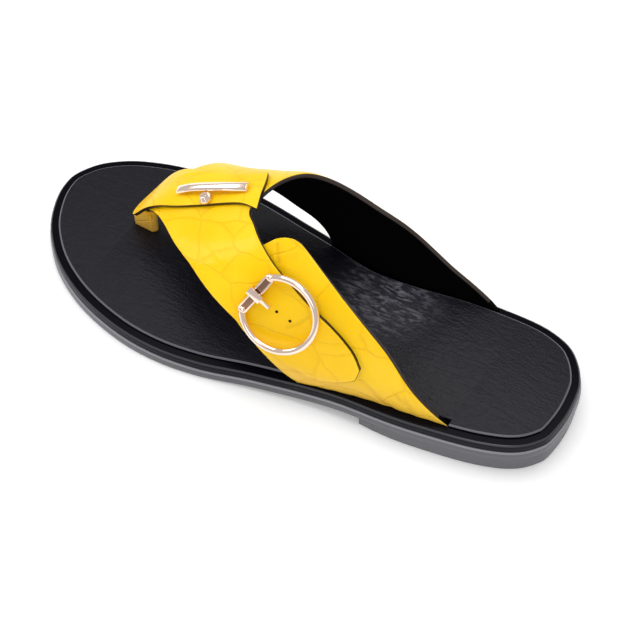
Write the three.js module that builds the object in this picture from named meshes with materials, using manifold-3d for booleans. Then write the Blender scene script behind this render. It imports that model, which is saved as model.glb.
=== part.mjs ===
import * as THREE from "three";
import { mergeVertices } from "three/addons/utils/BufferGeometryUtils.js";
import Module from "manifold-3d";

// Left thong sandal: +X to the toe, +Y to the outer side, +Z up, millimetres.
// The origin is on the floor under the middle of the sole.
const soleLength = 290;
const ballWidth = 106;
const instepHeight = 74;
const heelHeight = 11.2;
const heelLength = 90.5;
const heelInset = 1.2;
const outsoleThickness = 6;
const footbedThickness = 5.5;
const footbedInset = 0.8;
const insoleThickness = 1.8;
const insoleMargin = 5.2;
const edgeRound = 0.8;
const strapWall = 2.3;
const saddleWall = 1.9;
const strapTuck = 3;
const innerInset = 2.2;
const seatGap = 0.3;
const slotGap = 0.6;
const postLength = 13;
const postWidth = 5;
const postFold = 1.2;
const postCorner = 1.8;
const ringRadius = 20.4;
const ringTube = 3.2;
const ringBarDistance = 17;
const barWidth = 4.8;
const barThickness = 2.2;
const barRail = 0.9;
const barChannel = 0.5;
const prongReach = 9.5;
const prongWire = 1.8;
const wrapWidth = 4.2;
const wrapThickness = 1.1;
const loopWire = 1.3;
const loopLength = 8;
const loopWidth = 6;
const heelHollow = 2.5;
const ornamentWidth = 5.2;
const ornamentHeight = 2.6;
const studWidth = 7.2;
const studHeight = 4;

// Outline of the sole: station from the heel back as a share of the length,
// both edges as shares of the ball width.
const outlineRows = [
  { station: 0, inner: -0.113, outer: -0.113 },
  { station: 0.005, inner: -0.245, outer: 0.019 },
  { station: 0.0155, inner: -0.319, outer: 0.077 },
  { station: 0.0328, inner: -0.384, outer: 0.131 },
  { station: 0.055, inner: -0.436, outer: 0.173 },
  { station: 0.083, inner: -0.466, outer: 0.207 },
  { station: 0.121, inner: -0.482, outer: 0.24 },
  { station: 0.176, inner: -0.478, outer: 0.273 },
  { station: 0.252, inner: -0.459, outer: 0.307 },
  { station: 0.341, inner: -0.428, outer: 0.319 },
  { station: 0.41, inner: -0.413, outer: 0.345 },
  { station: 0.466, inner: -0.428, outer: 0.376 },
  { station: 0.517, inner: -0.453, outer: 0.409 },
  { station: 0.59, inner: -0.48, outer: 0.463 },
  { station: 0.66, inner: -0.498, outer: 0.496 },
  { station: 0.728, inner: -0.502, outer: 0.499 },
  { station: 0.79, inner: -0.486, outer: 0.473 },
  { station: 0.845, inner: -0.454, outer: 0.429 },
  { station: 0.893, inner: -0.406, outer: 0.367 },
  { station: 0.931, inner: -0.351, outer: 0.295 },
  { station: 0.964, inner: -0.278, outer: 0.2 },
  { station: 0.983, inner: -0.212, outer: 0.113 },
  { station: 0.9966, inner: -0.14, outer: 0.008 },
  { station: 1, inner: -0.075, outer: -0.075 },
];

// Underside of the outsole above the floor, as a share of the heel height.
const treadRows = [
  { station: 0, lift: 1 },
  { station: 0.12, lift: 0.97 },
  { station: 0.25, lift: 0.86 },
  { station: 0.3, lift: 0.71 },
  { station: 0.37, lift: 0.5 },
  { station: 0.448, lift: 0.275 },
  { station: 0.52, lift: 0.14 },
  { station: 0.6, lift: 0 },
  { station: 0.85, lift: 0 },
  { station: 0.92, lift: 0.04 },
  { station: 1, lift: 0.13 },
];

// The last above the footbed. Ridge offset, bulge of the inner side and inset of the outer
// side are shares of the ball width, ridge height a share of the instep height.
const lastRows = [
  { station: 0.155, ridge: -0.132, height: 0.98, bulge: 0.018, outerInset: 0.055 },
  { station: 0.269, ridge: -0.17, height: 0.96, bulge: 0.045, outerInset: 0.057 },
  { station: 0.366, ridge: -0.179, height: 0.965, bulge: 0.075, outerInset: 0.034 },
  { station: 0.455, ridge: -0.179, height: 0.965, bulge: 0.066, outerInset: 0.023 },
  { station: 0.545, ridge: -0.17, height: 0.942, bulge: 0.038, outerInset: 0.021 },
  { station: 0.607, ridge: -0.151, height: 0.84, bulge: 0.003, outerInset: 0.021 },
  { station: 0.676, ridge: -0.123, height: 0.705, bulge: -0.015, outerInset: 0.021 },
  { station: 0.745, ridge: -0.094, height: 0.58, bulge: 0, outerInset: 0.021 },
  { station: 0.786, ridge: -0.057, height: 0.455, bulge: 0, outerInset: 0.021 },
  { station: 0.828, ridge: -0.019, height: 0.235, bulge: 0, outerInset: 0.021 },
  { station: 0.886, ridge: 0, height: 0.03, bulge: 0, outerInset: 0.021 },
];

// Sections of the last: reach is the share of the sole's width they cover, power their roundness.
const sectionRows = [
  { station: 0.155, innerReach: 1, outerReach: 1, innerPower: 2.8, outerPower: 1.75 },
  { station: 0.269, innerReach: 1, outerReach: 1, innerPower: 3, outerPower: 1.75 },
  { station: 0.366, innerReach: 1, outerReach: 1, innerPower: 3.4, outerPower: 1.75 },
  { station: 0.455, innerReach: 1, outerReach: 1, innerPower: 3.6, outerPower: 1.75 },
  { station: 0.545, innerReach: 1, outerReach: 1, innerPower: 3.4, outerPower: 1.75 },
  { station: 0.607, innerReach: 1, outerReach: 1, innerPower: 2.9, outerPower: 1.75 },
  { station: 0.676, innerReach: 0.97, outerReach: 0.94, innerPower: 2.7, outerPower: 1.75 },
  { station: 0.745, innerReach: 0.9, outerReach: 0.74, innerPower: 2.8, outerPower: 1.8 },
  { station: 0.786, innerReach: 0.76, outerReach: 0.5, innerPower: 3, outerPower: 1.9 },
  { station: 0.828, innerReach: 0.36, outerReach: 0.28, innerPower: 2.3, outerPower: 1.9 },
  { station: 0.886, innerReach: 0.16, outerReach: 0.16, innerPower: 2.2, outerPower: 2 },
];

// The band of the upper from the inner side of the footbed, over the ridge, to the tail of
// the buckle strap. A turn is -1 at the inner footbed, 0 on the ridge and 1 at the outer
// footbed. Lift, in walls, carries the buckle strap over the quarter.
const bandRows = [
  { frontStation: 0.517, frontTurn: -1, backStation: 0.198, backTurn: -1, lift: 0 },
  { frontStation: 0.5688, frontTurn: -0.958, backStation: 0.2602, backTurn: -0.95, lift: 0 },
  { frontStation: 0.6055, frontTurn: -0.908, backStation: 0.3067, backTurn: -0.907, lift: 0 },
  { frontStation: 0.6371, frontTurn: -0.843, backStation: 0.3523, backTurn: -0.85, lift: 0 },
  { frontStation: 0.67, frontTurn: -0.737, backStation: 0.397, backTurn: -0.76, lift: 0 },
  { frontStation: 0.6969, frontTurn: -0.605, backStation: 0.4436, backTurn: -0.67, lift: 0 },
  { frontStation: 0.7215, frontTurn: -0.48, backStation: 0.4872, backTurn: -0.56, lift: 0 },
  { frontStation: 0.746, frontTurn: -0.35, backStation: 0.5268, backTurn: -0.41, lift: 0 },
  { frontStation: 0.7743, frontTurn: -0.2, backStation: 0.5613, backTurn: -0.22, lift: 0 },
  { frontStation: 0.8075, frontTurn: 0, backStation: 0.5915, backTurn: -0.03, lift: 0 },
  { frontStation: 0.8054, frontTurn: 0.116, backStation: 0.5994, backTurn: 0.12, lift: 0 },
  { frontStation: 0.7613, frontTurn: 0.243, backStation: 0.5763, backTurn: 0.206, lift: 0.08 },
  { frontStation: 0.704, frontTurn: 0.351, backStation: 0.5492, backTurn: 0.285, lift: 1.1 },
  { frontStation: 0.6497, frontTurn: 0.429, backStation: 0.518, backTurn: 0.355, lift: 1.75 },
  { frontStation: 0.6064, frontTurn: 0.516, backStation: 0.4918, backTurn: 0.403, lift: 1.95 },
  { frontStation: 0.563, frontTurn: 0.606, backStation: 0.4596, backTurn: 0.455, lift: 1.85 },
  { frontStation: 0.5205, frontTurn: 0.69, backStation: 0.4325, backTurn: 0.503, lift: 1.5 },
  { frontStation: 0.4789, frontTurn: 0.772, backStation: 0.4072, backTurn: 0.549, lift: 1.15 },
  { frontStation: 0.4423, frontTurn: 0.845, backStation: 0.3861, backTurn: 0.585, lift: 0.9 },
  { frontStation: 0.4018, frontTurn: 0.905, backStation: 0.3588, backTurn: 0.638, lift: 0.87 },
  { frontStation: 0.3638, frontTurn: 0.905, backStation: 0.3354, backTurn: 0.7, lift: 0.87 },
  { frontStation: 0.3263, frontTurn: 0.852, backStation: 0.3209, backTurn: 0.772, lift: 0.87 },
];

// The outer quarter from the footbed to its round top under the buckle strap.
const quarterRows = [
  { frontStation: 0.427, frontTurn: 1, backStation: 0.161, backTurn: 1, lift: 0 },
  { frontStation: 0.466, frontTurn: 0.886, backStation: 0.2245, backTurn: 0.823, lift: 0 },
  { frontStation: 0.4896, frontTurn: 0.819, backStation: 0.2756, backTurn: 0.668, lift: 0 },
  { frontStation: 0.5131, frontTurn: 0.755, backStation: 0.3272, backTurn: 0.556, lift: 0 },
  { frontStation: 0.5405, frontTurn: 0.68, backStation: 0.3817, backTurn: 0.445, lift: 0 },
  { frontStation: 0.563, frontTurn: 0.606, backStation: 0.436, backTurn: 0.337, lift: 0 },
  { frontStation: 0.5734, frontTurn: 0.52, backStation: 0.4732, backTurn: 0.268, lift: 0 },
  { frontStation: 0.5707, frontTurn: 0.43, backStation: 0.4903, backTurn: 0.242, lift: 0 },
  { frontStation: 0.56, frontTurn: 0.36, backStation: 0.5113, backTurn: 0.243, lift: 0 },
  { frontStation: 0.5461, frontTurn: 0.315, backStation: 0.5272, backTurn: 0.262, lift: 0 },
];

// The saddle from the tip of its tongue to its slanted back edge.
const saddleRows = [
  { frontStation: 0.822, frontTurn: -0.065, backStation: 0.822, backTurn: 0.11, lift: 0 },
  { frontStation: 0.8185, frontTurn: -0.155, backStation: 0.8195, backTurn: 0.17, lift: 0 },
  { frontStation: 0.811, frontTurn: -0.24, backStation: 0.8125, backTurn: 0.195, lift: 0 },
  { frontStation: 0.793, frontTurn: -0.25, backStation: 0.794, backTurn: 0.177, lift: 0 },
  { frontStation: 0.7674, frontTurn: -0.21, backStation: 0.7674, backTurn: 0.167, lift: 0 },
  { frontStation: 0.7334, frontTurn: -0.153, backStation: 0.7364, backTurn: 0.165, lift: 0 },
  { frontStation: 0.6954, frontTurn: -0.143, backStation: 0.6884, backTurn: 0.125, lift: 0 },
  { frontStation: 0.6534, frontTurn: -0.145, backStation: 0.6504, backTurn: 0.102, lift: 0 },
  { frontStation: 0.625, frontTurn: -0.157, backStation: 0.6124, backTurn: 0.096, lift: 0 },
  { frontStation: 0.61, frontTurn: -0.177, backStation: 0.5804, backTurn: 0.13, lift: 0 },
];

// Where the hardware sits on the last.
const ringSeat = { station: 0.47, turn: 0.573 };
const barSeat = { station: 0.523, turn: 0.49 };
const loopSeat = { station: 0.49, turn: 0.45 };
const ornamentSeat = { frontStation: 0.739, backStation: 0.617, frontTurn: 0.024, backTurn: -0.004 };
const studSeat = { station: 0.68, turn: 0.09 };
const postSeat = { station: 0.821, side: -0.066 };

// Sections of the small metal pieces as shares of their own half width and height.
const ornamentSection = [
  { across: -1, up: 0.13 },
  { across: -1, up: 0.35 },
  { across: -0.72, up: 0.78 },
  { across: 0, up: 1 },
  { across: 0.72, up: 0.78 },
  { across: 1, up: 0.35 },
  { across: 1, up: 0.13 },
];
const studProfile = [
  { radius: 0, up: 0 },
  { radius: 0.85, up: 0 },
  { radius: 1, up: 0.25 },
  { radius: 0.92, up: 0.5 },
  { radius: 0.5, up: 1 },
  { radius: 0, up: 1 },
];
const studSides = 8;

// Tongue of the prong: reach as a share of its length, depth in wires under the wrap's top.
const tongueOutline = [
  { reach: 0.26, depth: 1 },
  { reach: 0.95, depth: 1.25 },
  { reach: 1, depth: 1 },
  { reach: 0.95, depth: 0.4 },
  { reach: 0.26, depth: 0.06 },
];

// Steps of the grids that the leather is cut on, and the height the cutters clear.
const leatherAcross = 8;
const leatherAlong = 3;
const slotReach = 18;

const wasm = await Module();
wasm.setup();

// Catmull-Rom value of a column between the rows; the ends are held or taken from a neighbour.
function blend(values, position) {
  const last = values.length - 1;
  const index = Math.min(Math.floor(position), last - 1);
  const u = position - index;
  const before = values[Math.max(index - 1, 0)];
  const after = values[Math.min(index + 2, last)];
  const [a, b, c, d] = [before, values[index], values[index + 1], after];
  return b + 0.5 * u * (c - a + u * (2 * a - 5 * b + 4 * c - d + u * (3 * (b - c) + d - a)));
}

function rowAt(rows, position) {
  const row = {};
  for (const column of Object.keys(rows[0])) {
    row[column] = blend(rows.map((entry) => entry[column]), position);
  }
  return row;
}

// Value of a column at a station, with slopes that never overshoot.
function columnAt(rows, column, station) {
  const last = rows.length - 1;
  let index = rows.findIndex((row) => row.station > station) - 1;
  if (index === -2) index = last - 1;
  index = Math.max(index, 0);
  const slope = (i) => (rows[i + 1][column] - rows[i][column]) / (rows[i + 1].station - rows[i].station);
  const tangent = (i) => {
    if (i === 0 || i === last) return 0;
    const [m, n] = [slope(i - 1), slope(i)];
    return m * n <= 0 ? 0 : (2 * m * n) / (m + n);
  };
  const width = rows[index + 1].station - rows[index].station;
  const u = THREE.MathUtils.clamp((station - rows[index].station) / width, 0, 1);
  const [p, q] = [rows[index][column], rows[index + 1][column]];
  const [s, t] = [tangent(index) * width, tangent(index + 1) * width];
  const [u2, u3] = [u * u, u * u * u];
  return p * (2 * u3 - 3 * u2 + 1) + s * (u3 - 2 * u2 + u) + q * (3 * u2 - 2 * u3) + t * (u3 - u2);
}

const stationX = (station) => (station - 0.5) * soleLength;
const stationOf = (x) => x / soleLength + 0.5;

// Sole outline as one loop, outer side from heel to toe, then the inner side back.
const outlineSteps = 3;

function outlineLoop() {
  const tip = { station: outlineRows[1].station, inner: outlineRows[1].outer, outer: outlineRows[1].inner };
  const lastRow = outlineRows[outlineRows.length - 2];
  const toe = { station: lastRow.station, inner: lastRow.outer, outer: lastRow.inner };
  const rows = [tip, ...outlineRows, toe];
  const steps = (outlineRows.length - 1) * outlineSteps;
  const sides = { inner: [], outer: [] };
  for (let i = 0; i <= steps; i++) {
    const row = rowAt(rows, 1 + i / outlineSteps);
    for (const side of ["inner", "outer"]) {
      sides[side].push(new THREE.Vector2(stationX(row.station), row[side] * ballWidth));
    }
  }
  return [...sides.outer, ...sides.inner.slice(1, -1).reverse()];
}

const soleOutline = outlineLoop();

function insetLoop(loop, inset) {
  return loop.map((point, i) => {
    const before = loop[(i + loop.length - 1) % loop.length];
    const after = loop[(i + 1) % loop.length];
    const along = after.clone().sub(before).normalize();
    return new THREE.Vector2(point.x + along.y * inset, point.y - along.x * inset);
  });
}

// Width of the sole at a station, read from the outline itself.
function soleEdge(x, side) {
  const half = soleOutline.length / 2;
  const inner = [soleOutline[0], ...soleOutline.slice(half).reverse()];
  const points = side < 0 ? inner : soleOutline.slice(0, half + 1);
  const index = THREE.MathUtils.clamp(points.findIndex((point) => point.x > x), 1, points.length - 1);
  const [a, b] = [points[index - 1], points[index]];
  const share = THREE.MathUtils.clamp((x - a.x) / (b.x - a.x), 0, 1);
  return a.y + (b.y - a.y) * share;
}

const treadZ = (x) => heelHeight * columnAt(treadRows, "lift", stationOf(x));
const footbedBottom = (x) => treadZ(x) + outsoleThickness + seatGap;
const footbedTop = (x) => footbedBottom(x) + footbedThickness;

// A closed mesh from a list of vertices and triangles, as a solid and as a geometry.
function toGeometry(positions, indices) {
  const geometry = new THREE.BufferGeometry();
  geometry.setAttribute("position", new THREE.Float32BufferAttribute(positions, 3));
  geometry.setIndex(indices);
  return geometry;
}

function toSolid(geometry) {
  const bare = geometry.clone();
  bare.deleteAttribute("normal");
  bare.deleteAttribute("uv");
  const merged = mergeVertices(bare, 1e-4);
  const vertProperties = new Float32Array(merged.attributes.position.array);
  const index = Array.from(merged.index.array);
  const triVerts = [];
  for (let i = 0; i < index.length; i += 3) {
    const [a, b, c] = index.slice(i, i + 3);
    if (a !== b && b !== c && a !== c) triVerts.push(a, b, c);
  }
  const mesh = new wasm.Mesh({ numProp: 3, vertProperties, triVerts: new Uint32Array(triVerts) });
  return new wasm.Manifold(mesh);
}

function fromSolid(solid) {
  const mesh = solid.getMesh();
  return toGeometry(Array.from(mesh.vertProperties), Array.from(mesh.triVerts));
}

// A slab of the sole: stacked loops from its underside to its top, closed across the sole.
function layer(loop, bottom, top, round) {
  const half = loop.length / 2;
  const levels = [
    { inset: round, height: (x) => bottom(x) },
    { inset: 0, height: (x) => bottom(x) + round },
    { inset: 0, height: (x) => top(x) - round },
    { inset: round, height: (x) => top(x) },
  ];
  const positions = [];
  for (const level of levels) {
    for (const point of insetLoop(loop, level.inset)) {
      positions.push(point.x, point.y, level.height(point.x));
    }
  }
  const count = loop.length;
  const indices = [];
  for (let level = 0; level < levels.length - 1; level++) {
    for (let i = 0; i < count; i++) {
      const a = level * count + i;
      const b = level * count + ((i + 1) % count);
      indices.push(a, a + count, b, b, a + count, b + count);
    }
  }
  const roof = (levels.length - 1) * count;
  for (let i = 0; i < half; i++) {
    const [a, b] = [i, i + 1];
    const [c, d] = [(count - i) % count, count - i - 1];
    indices.push(a, b, c, c, b, d);
    indices.push(roof + a, roof + c, roof + b, roof + c, roof + d, roof + b);
  }
  return toSolid(toGeometry(positions, indices));
}

// Point of the last at a station and turn; below the footbed the wall runs straight down.
function lastPoint(station, turn) {
  const x = stationX(station);
  const ridgeY = columnAt(lastRows, "ridge", station) * ballWidth;
  const rise = columnAt(lastRows, "height", station) * instepHeight;
  const inner = turn < 0;
  const reach = columnAt(sectionRows, inner ? "innerReach" : "outerReach", station);
  const power = columnAt(sectionRows, inner ? "innerPower" : "outerPower", station);
  const bulge = inner ? columnAt(lastRows, "bulge", station) * ballWidth : 0;
  const outerInset = columnAt(lastRows, "outerInset", station) * ballWidth;
  const edge = inner ? ridgeY - (soleEdge(x, -1) + innerInset) : soleEdge(x, 1) - outerInset - ridgeY;
  const angle = Math.min(Math.abs(turn), 1) * (Math.PI / 2);
  const width = Math.pow(Math.sin(angle), 2 / power);
  const height = Math.pow(Math.max(Math.cos(angle), 0), 2 / power);
  const below = Math.max(Math.abs(turn) - 1, 0) * instepHeight;
  const y = ridgeY + Math.sign(turn) * (edge * reach * width + bulge * Math.sin(Math.PI * height));
  return new THREE.Vector3(x, y, footbedTop(x) + rise * height - below);
}

function lastNormal(station, turn) {
  const step = 0.002;
  const side = Math.sign(turn) || 1;
  const along = lastPoint(station + step, turn).sub(lastPoint(station - step, turn));
  const safeTurn = Math.abs(turn) < 0.02 ? 0.02 * side : turn;
  const low = Math.max(Math.abs(safeTurn) - 0.01, 0.001) * side;
  const high = Math.min(Math.abs(safeTurn) + 0.01, 0.999) * side;
  const round = lastPoint(station, high).sub(lastPoint(station, low)).multiplyScalar(side);
  const normal = along.cross(round).normalize();
  if (Math.abs(turn) < 0.02) normal.y = 0;
  if (Math.abs(turn) >= 0.97) {
    normal.z = 0;
    normal.x = 0;
  }
  return normal.normalize();
}

function onLast(station, turn, offset) {
  return lastPoint(station, turn).addScaledVector(lastNormal(station, turn), offset);
}

// One face of a piece of leather cut to an outline on the last, as a grid of points.
function leatherFace(rows, across, steps, offset, tuck) {
  const lines = [];
  const count = (rows.length - 1) * steps;
  for (let i = 0; i <= count; i++) {
    lines.push(rowAt(rows, i / steps));
  }
  if (tuck > 0) {
    const foot = lines[0];
    const drop = Math.sign(foot.frontTurn) * (tuck / instepHeight);
    lines.unshift({ ...foot, frontTurn: foot.frontTurn + drop, backTurn: foot.backTurn + drop });
  }
  return lines.map((row) => {
    const line = [];
    for (let j = 0; j <= across; j++) {
      const station = THREE.MathUtils.lerp(row.frontStation, row.backStation, j / across);
      const turn = THREE.MathUtils.lerp(row.frontTurn, row.backTurn, j / across);
      line.push(onLast(station, turn, offset + row.lift * strapWall));
    }
    return line;
  });
}

function leather(rows, under, over, tuck) {
  const faces = [under, over].map((offset) => leatherFace(rows, leatherAcross, leatherAlong, offset, tuck));
  return sheetSolid(...faces);
}

// Closed solid between two grids of points of equal size.
function sheetSolid(lower, upper) {
  const rows = lower.length;
  const columns = lower[0].length;
  const positions = [];
  for (const grid of [lower, upper]) {
    for (const line of grid) {
      for (const point of line) positions.push(point.x, point.y, point.z);
    }
  }
  const at = (skin, i, j) => skin * rows * columns + i * columns + j;
  const indices = [];
  const quad = (a, b, c, d) => indices.push(a, b, c, a, c, d);
  for (let i = 0; i < rows - 1; i++) {
    for (let j = 0; j < columns - 1; j++) {
      quad(at(0, i, j), at(0, i, j + 1), at(0, i + 1, j + 1), at(0, i + 1, j));
      quad(at(1, i, j), at(1, i + 1, j), at(1, i + 1, j + 1), at(1, i, j + 1));
    }
    quad(at(0, i, 0), at(0, i + 1, 0), at(1, i + 1, 0), at(1, i, 0));
    quad(at(0, i, columns - 1), at(1, i, columns - 1), at(1, i + 1, columns - 1), at(0, i + 1, columns - 1));
  }
  for (let j = 0; j < columns - 1; j++) {
    quad(at(0, 0, j), at(1, 0, j), at(1, 0, j + 1), at(0, 0, j + 1));
    quad(at(0, rows - 1, j), at(0, rows - 1, j + 1), at(1, rows - 1, j + 1), at(1, rows - 1, j));
  }
  const solid = toSolid(toGeometry(positions, indices));
  if (solid.volume() > 0) return solid;
  return toSolid(toGeometry(positions, indices.reverse()));
}

// A tube or bar along a list of points with a section of given width and thickness.
function sweep(points, frames, section, closed) {
  const rings = points.map((point, i) =>
    section.map(([side, up]) =>
      point.clone().addScaledVector(frames[i].side, side).addScaledVector(frames[i].up, up),
    ),
  );
  const sides = section.length;
  const positions = rings.flat().flatMap((point) => [point.x, point.y, point.z]);
  const indices = [];
  const last = closed ? rings.length : rings.length - 1;
  for (let i = 0; i < last; i++) {
    for (let j = 0; j < sides; j++) {
      const a = i * sides + j;
      const b = i * sides + ((j + 1) % sides);
      const c = ((i + 1) % rings.length) * sides + j;
      const d = ((i + 1) % rings.length) * sides + ((j + 1) % sides);
      indices.push(a, c, b, b, c, d);
    }
  }
  if (!closed) {
    const end = (rings.length - 1) * sides;
    for (let j = 1; j < sides - 1; j++) {
      indices.push(0, j, j + 1, end, end + j + 1, end + j);
    }
  }
  const solid = toSolid(toGeometry(positions, indices));
  if (solid.volume() > 0) return solid;
  return toSolid(toGeometry(positions, indices.reverse()));
}

function roundSection(width, thickness, sides) {
  const section = [];
  for (let i = 0; i < sides; i++) {
    const angle = (i / sides) * Math.PI * 2;
    section.push([Math.cos(angle) * width * 0.5, Math.sin(angle) * thickness * 0.5]);
  }
  return section;
}

// Back part of an outline up to a breast line, with one point in the middle of the breast.
function heelLoop(loop, breastX, hollow) {
  const half = loop.length / 2;
  const outer = loop.slice(0, half + 1).filter((point) => point.x < breastX);
  const inner = [loop[0], ...loop.slice(half + 1).reverse()].filter((point) => point.x < breastX);
  const count = Math.min(outer.length, inner.length);
  const outerEnd = new THREE.Vector2(breastX, outer[count - 1].y);
  const innerEnd = new THREE.Vector2(breastX, inner[count - 1].y);
  const middle = new THREE.Vector2(breastX - hollow, (outerEnd.y + innerEnd.y) / 2);
  return [...outer.slice(0, count), outerEnd, middle, innerEnd, ...inner.slice(1, count).reverse()];
}

// Height of the last, or of a face at an offset from it, over a point of the footbed.
function heightOver(x, y, offset) {
  const step = 0.01;
  let station = stationOf(x);
  let turn = 0;
  for (let i = 0; i < 40; i++) {
    const point = onLast(station, turn, offset);
    const [left, right] = [turn - step, turn + step].map((side) => onLast(station, side, offset).y);
    const slope = (right - left) / (2 * step);
    station += (x - point.x) / soleLength;
    turn += THREE.MathUtils.clamp((y - point.y) / slope, -0.05, 0.05);
  }
  return onLast(station, turn, offset).z;
}

// Upright prism over a plan outline, its ends at heights given by functions.
function prism(plan, bottom, top) {
  const faces = THREE.ShapeUtils.triangulateShape(plan, []);
  const count = plan.length;
  const positions = [];
  for (const point of plan) positions.push(point.x, point.y, bottom(point));
  for (const point of plan) positions.push(point.x, point.y, top(point));
  const indices = [];
  for (const [a, b, c] of faces) {
    indices.push(a, c, b, a + count, b + count, c + count);
  }
  for (let i = 0; i < count; i++) {
    const next = (i + 1) % count;
    indices.push(i, next, next + count, i, next + count, i + count);
  }
  return toSolid(toGeometry(positions, indices));
}

// Slot in the sole for the foot of a strap: a strip with upright walls, wider by a gap,
// that reaches out from the strap's outer face.
function footSlot(rows, reach) {
  const { frontStation, backStation, frontTurn } = rows[0];
  const margin = seatGap / soleLength;
  const stations = [frontStation + margin];
  for (let j = 0; j <= leatherAcross; j++) {
    stations.push(THREE.MathUtils.lerp(frontStation, backStation, j / leatherAcross));
  }
  stations.push(backStation - margin);
  const [lower, upper] = [-strapTuck - seatGap, slotReach].map((rise) =>
    stations.map((station) => {
      const level = footbedTop(stationX(station)) + rise;
      return [reach, -strapWall - slotGap].map((offset) => onLast(station, frontTurn, offset).setZ(level));
    }),
  );
  return sheetSolid(lower, upper);
}

// Plan of the folded strip that makes the toe post, its fold at the back.
function postPlan(growth) {
  const x = stationX(postSeat.station);
  const y = postSeat.side * ballWidth;
  const [long, wide] = [postLength / 2 + growth, postWidth / 2 + growth];
  const mouth = postFold / 2;
  const outside = [
    [long - postCorner / 2, -wide],
    [-long + postCorner, -wide],
    [-long, -wide + postCorner],
    [-long, wide - postCorner],
    [-long + postCorner, wide],
    [long - postCorner / 2, wide],
    [long, wide - postCorner / 2],
  ];
  const fold = -long + postWidth / 2;
  const inside = growth > 0 ? [] : [[long, mouth], [fold, mouth], [fold, -mouth], [long, -mouth]];
  const corners = [...outside, ...inside, [long, -wide + postCorner / 2]];
  const points = corners.map(([px, py]) => new THREE.Vector2(x + px, y + py));
  if (THREE.ShapeUtils.isClockWise(points)) points.reverse();
  return points;
}

// The plane of the buckle: middle of the ring, direction away from the bar, across and up.
// The ring lies on the highest places of the strap under it.
function buckleFrame() {
  const up = lastNormal(ringSeat.station, ringSeat.turn);
  const middle = lastPoint(ringSeat.station, ringSeat.turn);
  const toBar = lastPoint(barSeat.station, barSeat.turn).sub(middle);
  const away = toBar.addScaledVector(up, -toBar.dot(up)).normalize().negate();
  const side = new THREE.Vector3().crossVectors(up, away);
  const barFront = -ringBarDistance;
  let rest = 0;
  for (const point of leatherFace(bandRows, 40, 8, 0, 0).flat()) {
    const arm = point.clone().sub(middle);
    const along = arm.dot(away);
    const radius = Math.hypot(along, arm.dot(side));
    const underRing = radius < ringRadius + 1 && radius > ringRadius - ringTube - 1;
    const underBar = radius < ringRadius && along < barFront + barWidth + 1;
    if (along > barFront - 1 && (underRing || underBar)) rest = Math.max(rest, arm.dot(up));
  }
  middle.addScaledVector(up, rest + seatGap + ringTube / 2);
  return { middle, away, side, up };
}

const buckle = buckleFrame();

function ringSolid() {
  const { middle, away, side, up } = buckle;
  const mean = ringRadius - ringTube / 2;
  const barHalf = ringBarDistance - barWidth / 2;
  const start = Math.acos(-barHalf / mean);
  const steps = 40;
  const points = [];
  const frames = [];
  for (let i = 0; i <= steps; i++) {
    const angle = -start + (2 * start * i) / steps;
    const radial = away.clone().multiplyScalar(Math.cos(angle)).addScaledVector(side, Math.sin(angle));
    points.push(middle.clone().addScaledVector(radial, mean));
    frames.push({ side: radial, up });
  }
  const ring = sweep(points, frames, roundSection(ringTube, ringTube, 10), false);
  const barCentre = middle.clone().addScaledVector(away, -barHalf);
  const barReach = mean * Math.sin(start) + ringTube * 0.3;
  const place = ([along, high], across) =>
    barCentre.clone().addScaledVector(away, along).addScaledVector(up, high).addScaledVector(side, across);
  const bar = slabSolid(barSection(barWidth, barThickness), -barReach, barReach, place);
  return ring.add(bar);
}

// Flat bar with a shallow channel between two rails.
function barSection(width, thickness) {
  const [w, t] = [width / 2, thickness / 2];
  const [inner, floor] = [w - barRail, t - barChannel];
  return [[-w, -t], [w, -t], [w, t], [inner, t], [inner, floor], [-inner, floor], [-inner, t], [-w, t]];
}

// The prong: a band wrapped round the bar and a short tongue lying towards the first hole.
function prongSolid() {
  const { middle, away, side, up } = buckle;
  const barCentre = middle.clone().addScaledVector(away, -(ringBarDistance - barWidth / 2));
  const [w, t] = [barWidth / 2 + seatGap, barThickness / 2 + seatGap];
  const outerW = w + wrapThickness;
  const outerT = t + wrapThickness;
  const place = ([along, high], across) =>
    barCentre.clone().addScaledVector(away, along).addScaledVector(up, high).addScaledVector(side, across);
  const inside = [[-outerW, -t], [-w, -t], [-w, t], [w, t], [w, 0]];
  const wrapOutline = [...inside, [outerW, 0], [outerW, outerT], [-outerW, outerT]];
  const wrap = slabSolid(wrapOutline, -wrapWidth / 2, wrapWidth / 2, place);
  const tongueEdge = tongueOutline.map((row) => [row.reach * prongReach, outerT - row.depth * prongWire]);
  const tongue = slabSolid(tongueEdge, -prongWire / 2, prongWire / 2, place);
  return wrap.add(tongue);
}

// A plate cut to an outline, between two distances across.
function slabSolid(outline, low, high, place) {
  const flat = outline.map(([x, y]) => new THREE.Vector2(x, y));
  const faces = THREE.ShapeUtils.triangulateShape(flat, []);
  const count = outline.length;
  const positions = [low, high].flatMap((across) =>
    outline.flatMap((point) => {
      const at = place(point, across);
      return [at.x, at.y, at.z];
    }),
  );
  const indices = [];
  for (const [a, b, c] of faces) indices.push(a, c, b, a + count, b + count, c + count);
  for (let i = 0; i < count; i++) {
    const next = (i + 1) % count;
    indices.push(i, next, next + count, i, next + count, i + count);
  }
  const solid = toSolid(toGeometry(positions, indices));
  if (solid.volume() > 0) return solid;
  return toSolid(toGeometry(positions, indices.reverse()));
}

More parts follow.
